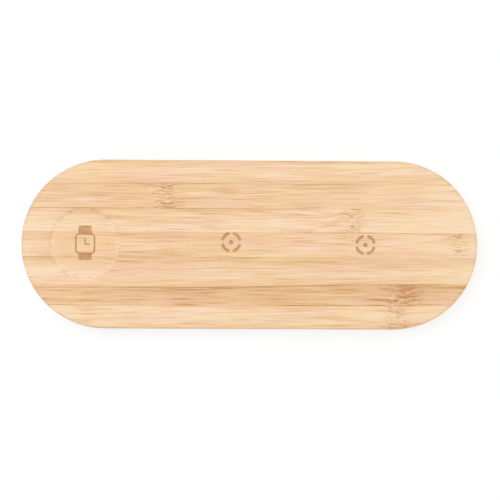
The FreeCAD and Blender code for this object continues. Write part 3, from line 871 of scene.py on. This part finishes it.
def bevelledBox(shape, low, high, edge, index=0):
    before = set(shape.faces)
    corners = bmesh.ops.create_cube(shape, size=1.0)["verts"]
    for vert in corners:
        vert.co = [(a + b) / 2 + (b - a) * share for a, b, share in zip(low, high, vert.co)]
    edges = list({link for vert in corners for link in vert.link_edges})
    bmesh.ops.bevel(shape, geom=edges, offset=edge * mm, segments=2, affect="EDGES", profile=0.5)
    fresh = [face for face in shape.faces if face not in before]
    for face in fresh:
        face.material_index = index
    return fresh


def makeLamp():
    size = lampBody
    shape = bmesh.new()
    faces = bevelledBox(shape, *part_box("status_led"), size["edge"])
    front = min(faces, key=lambda face: face.normal.y * face.calc_area())
    bmesh.ops.inset_region(shape, faces=[front], thickness=size["frame"] * mm, depth=-size["sink"] * mm)
    front.material_index = 1
    finishes = [plainFinish("ledBody"), plainFinish("ledResin")]
    newPiece("status_led_body", shape, ["status_led"], finishes)


dress("led_light_pipe", pipeFinish())
makeLamp()
print("status light is set")

# Board: green solder mask over fine copper tracks, with chips and capacitors
boardLook = {  # tracks in mm, noises in waves per mm
    "mask": ((20, 92, 56), (34, 118, 74)), "track": tone(58, 146, 92), "pitch": 0.62, "wide": 0.36,
    "region": (0.09, 0.0), "regionSplit": 0.5, "busy": (0.16, 1.0), "busySplit": 0.47,  # scale, octaves
    "stain": 0.3, "weave": 5.0, "rough": (0.28, 0.42), "bump": (0.03, 0.6), "shine": 0.5,
}
chipLook = {  # mm
    "edge": 0.07, "stand": 0.05, "pads": 8, "padPitch": 0.5, "padWide": 0.24, "padLong": 0.45,
    "padTall": 0.2, "padEdge": 0.0175,
}
capacitorLook = {"edge": 0.09, "cap": 0.55, "slim": 0.05}  # mm


def boardFinish():
    look = boardLook
    finish = Finish("boardLaminate", Specular_IOR_Level=look["shine"])
    spot = finish.place()
    x, y = finish.parts(spot)[:2]
    across = finish.calc("GREATER_THAN", finish.noise(spot, *look["region"]), look["regionSplit"])
    lane = x * across + y * (1.0 - across)
    share = finish.calc("FRACT", lane / (look["pitch"] * 2))
    busy = finish.calc("GREATER_THAN", finish.noise(spot, *look["busy"]), look["busySplit"])
    track = finish.calc("LESS_THAN", share, look["wide"]) * busy
    mask = finish.shades(finish.noise(spot, look["stain"]), *look["mask"])
    weave = finish.noise(spot, look["weave"]).between(*look["rough"])
    return finish.coat(finish.blend(track, mask, look["track"]), weave, track, *look["bump"])


def makeChips(tin):
    size = chipLook
    pads, long, half = size["pads"], size["padLong"] * mm, size["padWide"] / 2 * mm
    shape = bmesh.new()
    for low, high in solidsOf("driver_chips"):
        bevelledBox(shape, low + up * size["stand"] * mm, high, size["edge"])
        middle, reach = (low + high) / 2, (high.x - low.x) / 2
        base = Vector((middle.x, middle.y, low.z))
        for turn in range(4):  # a row of pads under each side
            spin = Matrix.Rotation(turn * math.pi / 2, 3, "Z")
            for count in range(pads):
                along = (count - (pads - 1) / 2) * size["padPitch"] * mm
                corners = ((reach - long, along - half, 0), (reach, along + half, 0))
                ends = [spin @ Vector(corner) for corner in corners]
                padLow, padHigh = (base + Vector(map(pick, *ends)) for pick in (min, max))
                bevelledBox(shape, padLow, padHigh + up * size["padTall"] * mm, size["padEdge"], 1)
    newPiece("driver_chip_bodies", shape, ["driver_chips"], [plainFinish("chipResin"), tin])


def makeCapacitors(tin):
    size = capacitorLook
    cap, inset = size["cap"] * mm, Vector((size["cap"], size["slim"], size["slim"])) * mm
    shape = bmesh.new()
    for low, high in solidsOf("resonant_capacitors"):
        bevelledBox(shape, low + inset, high - inset, size["slim"] / 2)
        for start, end in ((low.x, low.x + cap), (high.x - cap, high.x)):
            bevelledBox(shape, (start, low.y, low.z), (end, high.y, high.z), size["edge"], 1)
    finishes = [plainFinish("capacitorBody"), tin]
    newPiece("resonant_capacitor_bodies", shape, ["resonant_capacitors"], finishes)


tin = metalFinish("tin")
dress("main_board", boardFinish())
makeChips(tin)
makeCapacitors(tin)
print("board carries its chips and capacitors")

# Coils: stranded wire wound flat, from the board through the ferrite's slot to the eye, out and back
coilSizes = {
    "watch": {"wire": 0.6, "eye": 7.0, "halfTurns": 13, "side": -1},
    "earbud": {"wire": 0.8, "eye": 8.0, "halfTurns": 15, "side": 1},
    "phone": {"wire": 0.9, "eye": 10.0, "halfTurns": 19, "side": 1},
}
coilLay = {
    "turnGap": 0.45, "eyeBend": 0.75, "seat": 0.05, "padSeat": 0.03, "leadSpread": 4.0, "leadRun": 3.0,
    "padReach": 7.5, "phonePad": 2.0, "laneGap": 3.0, "lanePitch": 2.0, "arcStep": 10.0, "curveSteps": 3,
    "strands": 6, "strandDip": 0.16, "twist": 22.0, "sharp": 180,  # twist is mm along the wire for one turn
}
copperLook = {
    "tones": ((150, 84, 52), (206, 132, 88)), "toneSpan": (0.7, 1.3), "strand": (2.2, 3.0), "stain": 0.25,
    "rough": (0.26, 0.42), "bump": (0.02, 0.5),
    "shading": {"Metallic": 0.85, "Coat_Weight": 0.35, "Coat_Roughness": 0.2},
}
solder = {  # radius and rise of each ring, and the peak, in wires
    "rings": ((1.15, 0.0), (0.9, 0.16), (0.7, 0.42), (0.55, 0.8), (0.32, 1.05)), "peak": 1.12,
    "columns": 16, "sharp": 50,
}


def coilPlan(name):  # places and levels of one coil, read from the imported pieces
    plan = dict(coilSizes[name])
    tapeLow, tapeHigh = boxOf(name + "_coil_tape")
    ferriteLow, ferriteHigh = boxOf(name + "_ferrite")
    half = plan["wire"] / 2
    plan["x"] = (tapeLow.x + tapeHigh.x) / 2
    plan["ferrite"] = (ferriteHigh.y - ferriteLow.y) / 2
    plan["level"] = tapeLow.z - coilLay["seat"] - half
    plan["slotLevel"] = ferriteLow.z + coilLay["seat"] + half
    plan["padLevel"] = boxOf("main_board")[1].z + coilLay["padSeat"] + half
    plan["pitch"] = plan["wire"] + coilLay["turnGap"]
    plan["bend"] = coilLay["eyeBend"] * plan["eye"]
    return plan


def arcRun(x, radius, start, end, level):  # control points that hold a curve to an arc
    step = coilLay["arcStep"]
    swell = radius / math.cos(math.radians(step / 2))
    angles = [start + step / 2 + step * count for count in range(round((end - start) / step))]
    return [(*polar(x, 0.0, swell, angle), level) for angle in angles]


def leadPads(name, plan):  # both leads on the board, from their pads to the edge of the ferrite
    low, edge = plan["padLevel"], -plan["ferrite"]
    lanes = (-plan["bend"], -plan["bend"] - coilLay["leadSpread"])
    if name != "phone":
        pad = edge - coilLay["padReach"]
        return [[(pad, lane, low), (pad + coilLay["leadRun"], lane, low)] for lane in lanes]
    earbud = coilPlan("earbud")
    pad = boxOf("main_board")[1].x - coilLay["phonePad"] - plan["x"]
    turn = earbud["x"] + earbud["ferrite"] - plan["x"]
    firstLane = -earbud["ferrite"] - coilLay["laneGap"]
    drop = edge - 2 * coilLay["leadRun"]
    return [
        [(pad, away, low), (turn, away, low), (drop, lane, low)]
        for away, lane in zip((firstLane, firstLane - coilLay["lanePitch"]), lanes)
    ]


def coilRoute(name, plan):
    eye, bend, level, wire, pitch = (plan[key] for key in ("eye", "bend", "level", "wire", "pitch"))
    inner, outer = -bend, -bend - coilLay["leadSpread"]
    edge, eyeStart = -plan["ferrite"], eye - bend
    leadIn, leadOut = leadPads(name, plan)
    route = leadIn + [
        (edge, inner, plan["slotLevel"]), (eyeStart - bend, inner, plan["slotLevel"]),
        (eyeStart - wire, inner, level), (eyeStart, inner, level),
    ]
    route += arcRun(eyeStart, bend, -90, 0, level)
    for count in range(plan["halfTurns"]):
        middle = 0 if count % 2 == 0 else pitch / 2
        route += arcRun(middle, eye + count * pitch / 2, 180 * count, 180 * count + 180, level)
    last = eye + (plan["halfTurns"] - 1) * pitch / 2
    route += [(-last, outer / 2, level), (-last, outer, level), (edge - wire, outer, level)] + leadOut[::-1]
    x, side = plan["x"], plan["side"]
    return [Vector((x + side * along, side * across, height)) * mm for along, across, height in route]


def alongCurve(points):  # points read from one smooth curve over the route
    data = bpy.data.curves.new("route", "CURVE")
    data.dimensions = "3D"
    line = data.splines.new("NURBS")
    line.points.add(len(points) - 1)
    for spot, place in zip(line.points, points):
        spot.co = (*place, 1.0)
    line.order_u = 3
    line.use_endpoint_u = True
    line.resolution_u = coilLay["curveSteps"]
    holder = bpy.data.objects.new("route", data)
    mesh = bpy.data.meshes.new_from_object(holder)
    places = [vert.co.copy() for vert in mesh.vertices]
    bpy.data.objects.remove(holder)
    bpy.data.curves.remove(data)
    bpy.data.meshes.remove(mesh)
    return places


def strandedWire(points, wire):  # tube whose section is a twisted bundle, and its length in mm
    count = 2 * coilLay["strands"]
    shape = bmesh.new()
    rings, run = [], 0.0
    for place, point in enumerate(points):
        before = points[max(place - 1, 0)]
        heading = (points[min(place + 1, len(points) - 1)] - before).normalized()
        sideways = heading.cross(up).normalized()
        upward = sideways.cross(heading)
        run += (point - before).length / mm
        ring = []
        for corner in range(count):
            angle = 2 * math.pi * (corner / count + run / coilLay["twist"])
            radius = wire / 2 * mm * (1 - coilLay["strandDip"] * (corner % 2))
            spot = point + sideways * radius * math.cos(angle) + upward * radius * math.sin(angle)
            ring.append(shape.verts.new(spot))
        rings.append(ring)
    skin(shape, rings[::-1])
    shape.faces.new(rings[0])
    shape.faces.new(rings[-1][::-1])
    return shape, run


def copperFinish():
    look = copperLook
    finish = Finish("coilCopper", **look["shading"])
    strand = finish.noise(finish.place(), *look["strand"])
    stain = finish.noise(finish.place(), look["stain"])
    colour = finish.shades((strand + stain).span(*look["toneSpan"]), *look["tones"])
    return finish.coat(colour, strand.between(*look["rough"]), strand, *look["bump"])


def solderDome(shape, place, wire):
    x, y = place.x / mm, place.y / mm
    floor = boxOf("main_board")[1].z
    rings = []
    for radius, rise in solder["rings"]:
        rings.append(ringOf(shape, [radius * wire] * solder["columns"], floor + rise * wire, x, y))
    rings.append(ringOf(shape, [0.0], floor + solder["peak"] * wire, x, y))
    skin(shape, rings)
    shape.faces.new(rings[0][::-1])


def makeCoils(tin):
    copper = copperFinish()
    joints = bmesh.new()
    for name in coilSizes:
        plan = coilPlan(name)
        points = alongCurve(coilRoute(name, plan))
        shape, length = strandedWire(points, plan["wire"])
        stands = [name + "_coil"]
        piece = newPiece(name + "_winding", shape, stands, [copper], coilLay["sharp"])
        for end in (points[0], points[-1]):
            solderDome(joints, end, plan["wire"])
        print(name, "winding:", round(length), "mm of wire,", len(piece.data.polygons), "faces")
    newPiece("coil_solder_joints", joints, (), [tin], solder["sharp"])


makeCoils(tin)

# Foam pads: soft discs pressed between the cover and the ferrites, bulged at the side
foam = {
    "columns": 72, "rows": 10, "edge": 0.45, "round": 0.5, "ripple": 0.07, "rippleScale": 0.9, "fill": 0.8,
    "tones": ((84, 85, 88), (104, 105, 108)), "toneSpan": (0.4, 1.3), "cell": 2.6, "patch": 0.4,
    "rough": (0.1, 0.7, 0.85, 0.97), "bump": (0.12, 0.8), "shine": 0.2, "sharp": 55,
}


def foamFinish():
    finish = Finish("foam", Specular_IOR_Level=foam["shine"])
    cells = finish.cells(finish.place(), foam["cell"])
    patch = finish.noise(finish.place(), foam["patch"])
    colour = finish.shades((cells + patch).span(*foam["toneSpan"]), *foam["tones"])
    return finish.coat(colour, cells.span(*foam["rough"]), cells, *foam["bump"])


def makePad(name, finish):
    low, high = boxOf(name + "_foam_pad")
    middle, radius = (low + high) / 2, (high.x - low.x) / 2
    columns, rows = foam["columns"], foam["rows"]
    shape = bmesh.new()
    rings = [ringOf(shape, [0.0], low.z, middle.x, middle.y)]
    for row in range(rows + 1):
        share = row / rows
        swell = math.sin(math.pi * share) ** foam["round"]
        level = low.z + (high.z - low.z) * share
        radii = []
        for column in range(columns):
            spot = Vector((*polar(0.0, 0.0, radius, 360 * column / columns), level))
            dent = foam["ripple"] * (noise.noise(spot * foam["rippleScale"]) - 1)
            radii.append(radius - foam["edge"] * (1 - swell) + dent * swell)
        rings.append(ringOf(shape, radii, level, middle.x, middle.y))
    rings.append(ringOf(shape, [0.0], high.z, middle.x, middle.y))
    skin(shape, rings)
    pad = newPiece(name + "_pad", shape, [name + "_foam_pad"], [finish], foam["sharp"])


foamLook = foamFinish()
for name in coilSizes:
    makePad(name, foamLook)
print("coils and foam pads are in place")
